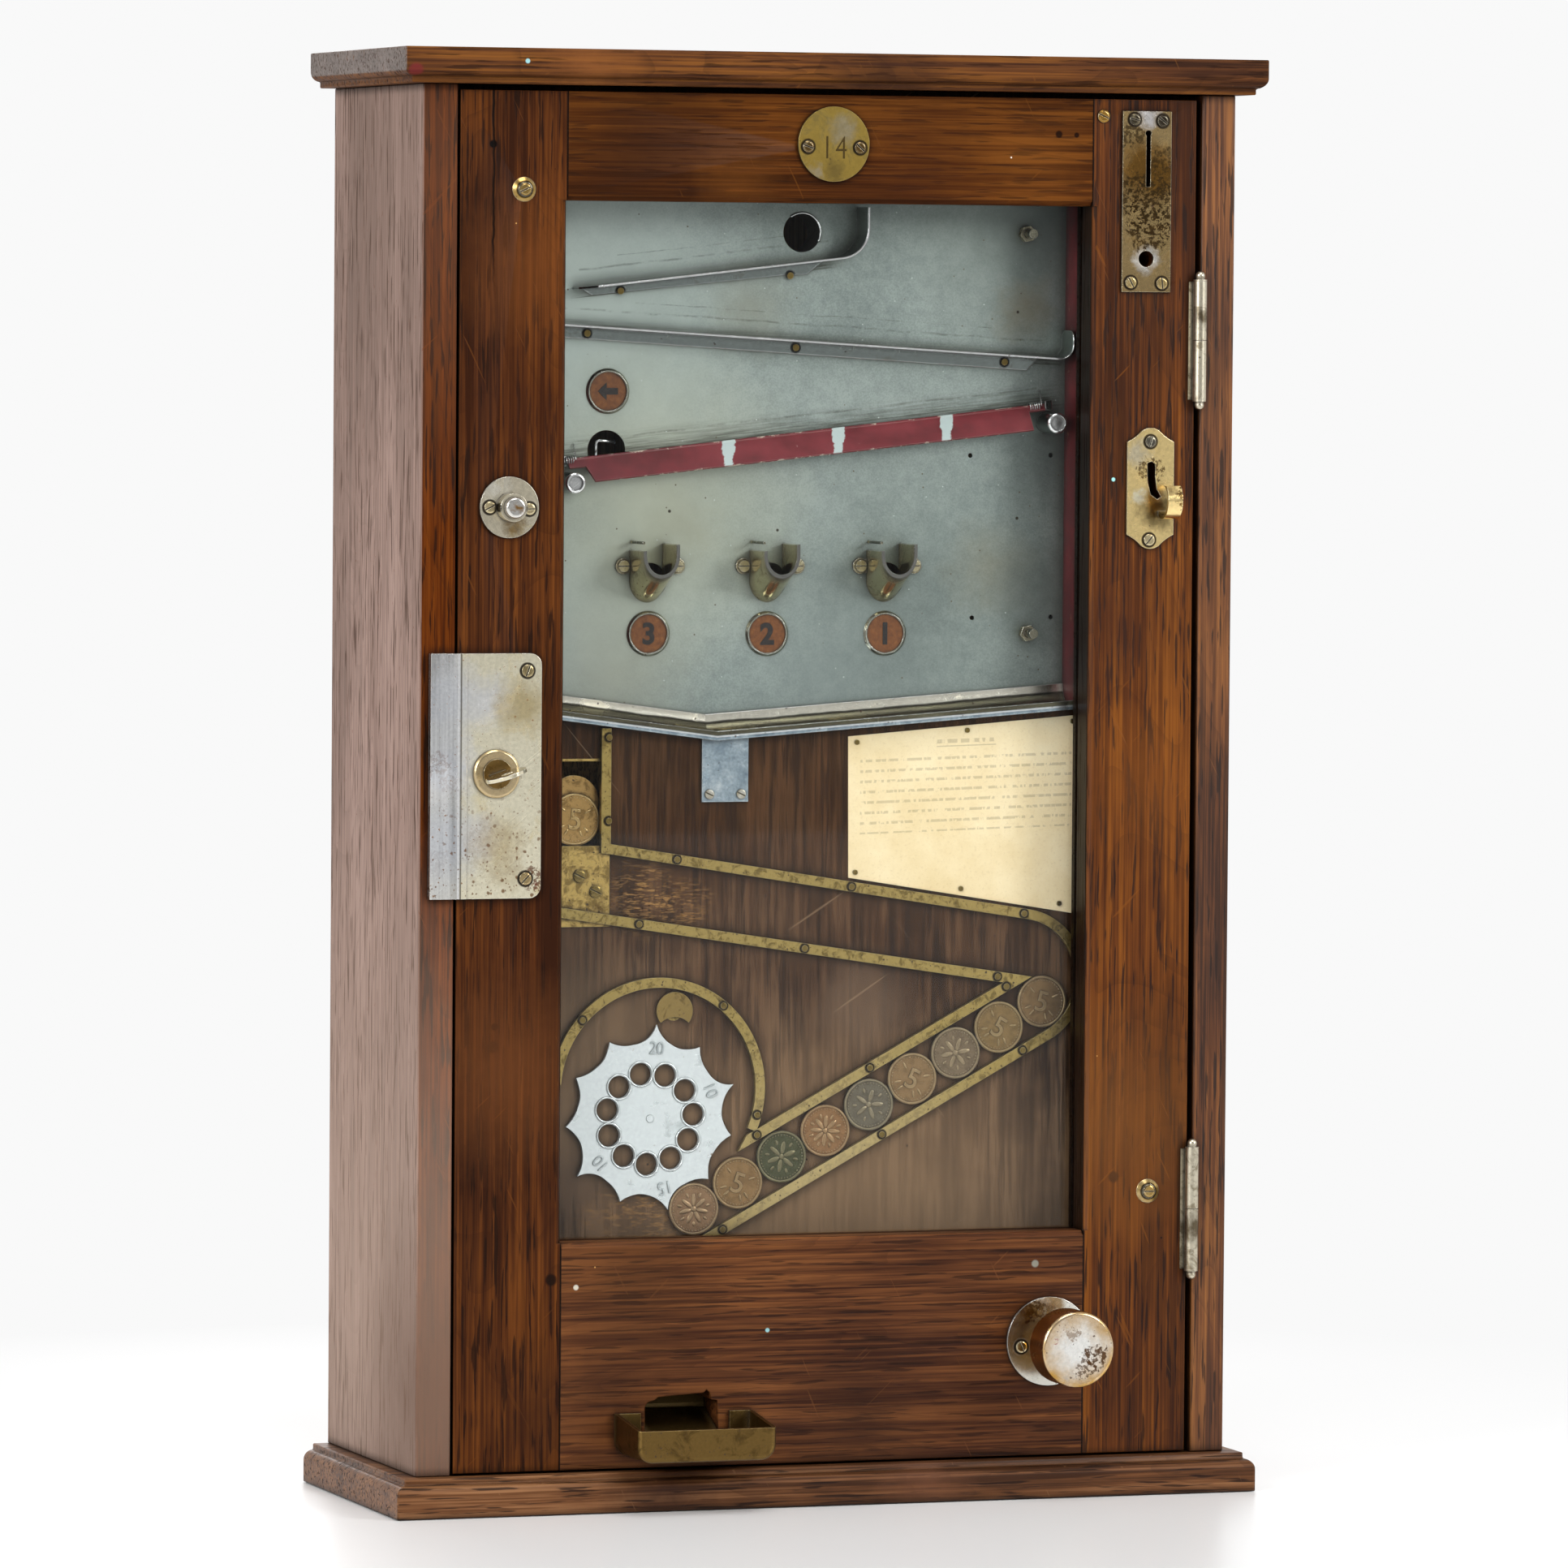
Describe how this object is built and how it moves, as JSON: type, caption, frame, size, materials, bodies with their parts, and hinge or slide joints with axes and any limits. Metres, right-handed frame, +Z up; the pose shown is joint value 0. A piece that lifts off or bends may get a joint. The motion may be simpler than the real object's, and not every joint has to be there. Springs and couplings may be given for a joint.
{
  "type": "coin-operated ball game",
  "caption": "Wall-hung coin-operated ball-drop game in a glazed oak case with door, turning knob, push button, rails, cups, star wheel and brass payout tray.",
  "frame": {"origin": "on the surface it stands on, under the middle of the whole machine", "axes": "+Z up, -Y out of the door's face, +X to the right as seen from the front (the hinge side)"},
  "size_m": [0.456, 0.199, 0.7275],
  "materials": {
    "oak_case": "oiled oak, satin",
    "oak_door": "oiled oak, satin",
    "board_wood": "dark stained veneer, satin",
    "back_wood": "bare plywood, matt",
    "red_paint": "dark red paint, satin",
    "red_board": "dark red paint, satin",
    "plate_steel": "aged tinned steel",
    "bright_steel": "polished plated steel",
    "nickel": "worn nickel plate",
    "brass": "aged brass",
    "bronze": "old bronze",
    "zinc": "bright zinc plate",
    "inner_steel": "plain steel",
    "glass": "window glass",
    "paper": "yellowed card",
    "fibre": "brown fibre"
  },
  "bodies": {
    "case": {"plinth": "oak_case", "cornice": "oak_case", "side_left": "oak_case", "side_right": "oak_case", "back_panel": "back_wood", "mechanism_board": "board_wood", "reveal_boards": "red_board", "playfield_plate": "plate_steel", "ball_gutter": "bright_steel", "ball_rails": "bright_steel", "rail_posts": "bright_steel", "scoring_cups": "nickel", "number_discs": "fibre", "disc_rims": "bright_steel", "stud_bolts": "nickel", "case_fasteners": "brass", "coin_track_outer": "brass", "coin_track_inner": "brass", "wheel_guard": "brass", "coin_magazine": "brass", "stored_coins": "bronze", "instruction_card": "paper", "coin_chute": "inner_steel", "ball_guides": "inner_steel", "mechanism_brackets": "inner_steel", "payout_chute": "brass", "cash_box": "inner_steel", "hinge_leaves_case": "nickel", "hinge_pins": "nickel", "lock_strike": "nickel", "bearing_bushes": "brass"},
    "door": {"stile_left": "oak_door", "stile_right": "oak_door", "rail_top": "oak_door", "rail_bottom": "oak_door", "glass": "glass", "glazing_beads": "oak_door", "hinge_leaves_door": "nickel", "number_tag": "brass", "coin_plate": "nickel", "return_plate": "nickel", "lock_plate": "nickel", "lock_ring": "nickel", "button_escutcheon": "nickel", "knob_rose": "nickel", "payout_tray": "brass", "door_screws": "nickel"},
    "push_button": {"push_button": "nickel"},
    "release_latch": {"release_latch": "inner_steel"},
    "turn_knob": {"turn_knob": "nickel"},
    "drive_arbor": {"drive_arbor": "inner_steel"},
    "pull_rod": {"pull_rod": "inner_steel"},
    "lift_arm": {"lift_arm": "inner_steel", "ball": "bright_steel"},
    "drop_rail": {"drop_rail": "red_paint"},
    "lock_plug": {"lock_plug": "nickel", "key": "nickel"},
    "payout_wheel": {"payout_wheel": "zinc"},
    "coin_queue": {"coin_queue": "bronze"},
    "stop_cam": {"stop_cam": "brass"}
  },
  "joints": [
    {"name": "door_hinge", "type": "hinge", "parent": "case", "child": "door", "pos_m": [0.1953, -0.059, 0.36375], "axis": [0, 0, 1], "range_deg": [0, 110]},
    {"name": "button_push", "type": "slide", "parent": "door", "child": "push_button", "axis": [0, 1, 0], "range_m": [0, 0.005], "stiffness_N_per_m": 300, "springref_m": -0.004},
    {"name": "latch_swing", "type": "hinge", "parent": "case", "child": "release_latch", "pos_m": [-0.19, -0.0277, 0.5007], "axis": [0, 0, 1], "range_deg": [0, 20]},
    {"name": "knob_turn", "type": "hinge", "parent": "door", "child": "turn_knob", "pos_m": [0.1194, -0.0555, 0.0785], "axis": [0, 1, 0], "range_deg": [0, 120], "stiffness_Nm_per_rad": 0.15, "springref_deg": -34.38},
    {"name": "arbor_turn", "type": "hinge", "parent": "case", "child": "drive_arbor", "pos_m": [0.1194, -0.0155, 0.0785], "axis": [0, 1, 0], "range_deg": [0, 121]},
    {"name": "rod_pull", "type": "slide", "parent": "case", "child": "pull_rod", "axis": [0, 0, -1], "range_m": [0, 0.0427]},
    {"name": "lift_swing", "type": "hinge", "parent": "case", "child": "lift_arm", "pos_m": [0.119, 0.012, 0.537], "axis": [0, 1, 0], "range_deg": [0, 80.44]},
    {"name": "rail_raise", "type": "hinge", "parent": "case", "child": "drop_rail", "pos_m": [-0.1265, -0.0136, 0.5229], "axis": [-0.9937, 0, -0.112], "range_deg": [0, 46.5]},
    {"name": "lock_turn", "type": "hinge", "parent": "door", "child": "lock_plug", "pos_m": [-0.1763, -0.0555, 0.3688], "axis": [0, -1, 0], "range_deg": [0, 90]},
    {"name": "wheel_step", "type": "hinge", "parent": "case", "child": "payout_wheel", "pos_m": [-0.0843, -0.0255, 0.1931], "axis": [0, 1, 0], "range_deg": [0, 32.73]},
    {"name": "queue_slide", "type": "slide", "parent": "case", "child": "coin_queue", "axis": [-0.8771, 0, -0.4802], "range_m": [0, 0.0267]},
    {"name": "cam_turn", "type": "hinge", "parent": "case", "child": "stop_cam", "pos_m": [-0.0714, -0.0255, 0.2471], "axis": [0, 1, 0], "range_deg": [0, 35]}
  ],
  "couplings": [
    {"joint": "latch_swing", "follows": "button_push", "rad_per_m": 64},
    {"joint": "arbor_turn", "follows": "knob_turn", "ratio": 1},
    {"joint": "rod_pull", "follows": "knob_turn", "m_per_rad": 0.020243},
    {"joint": "lift_swing", "follows": "knob_turn", "ratio": 0.66613},
    {"joint": "rail_raise", "follows": "knob_turn", "ratio": 0.38333},
    {"joint": "queue_slide", "follows": "wheel_step", "m_per_rad": 0.046394}
  ]
}
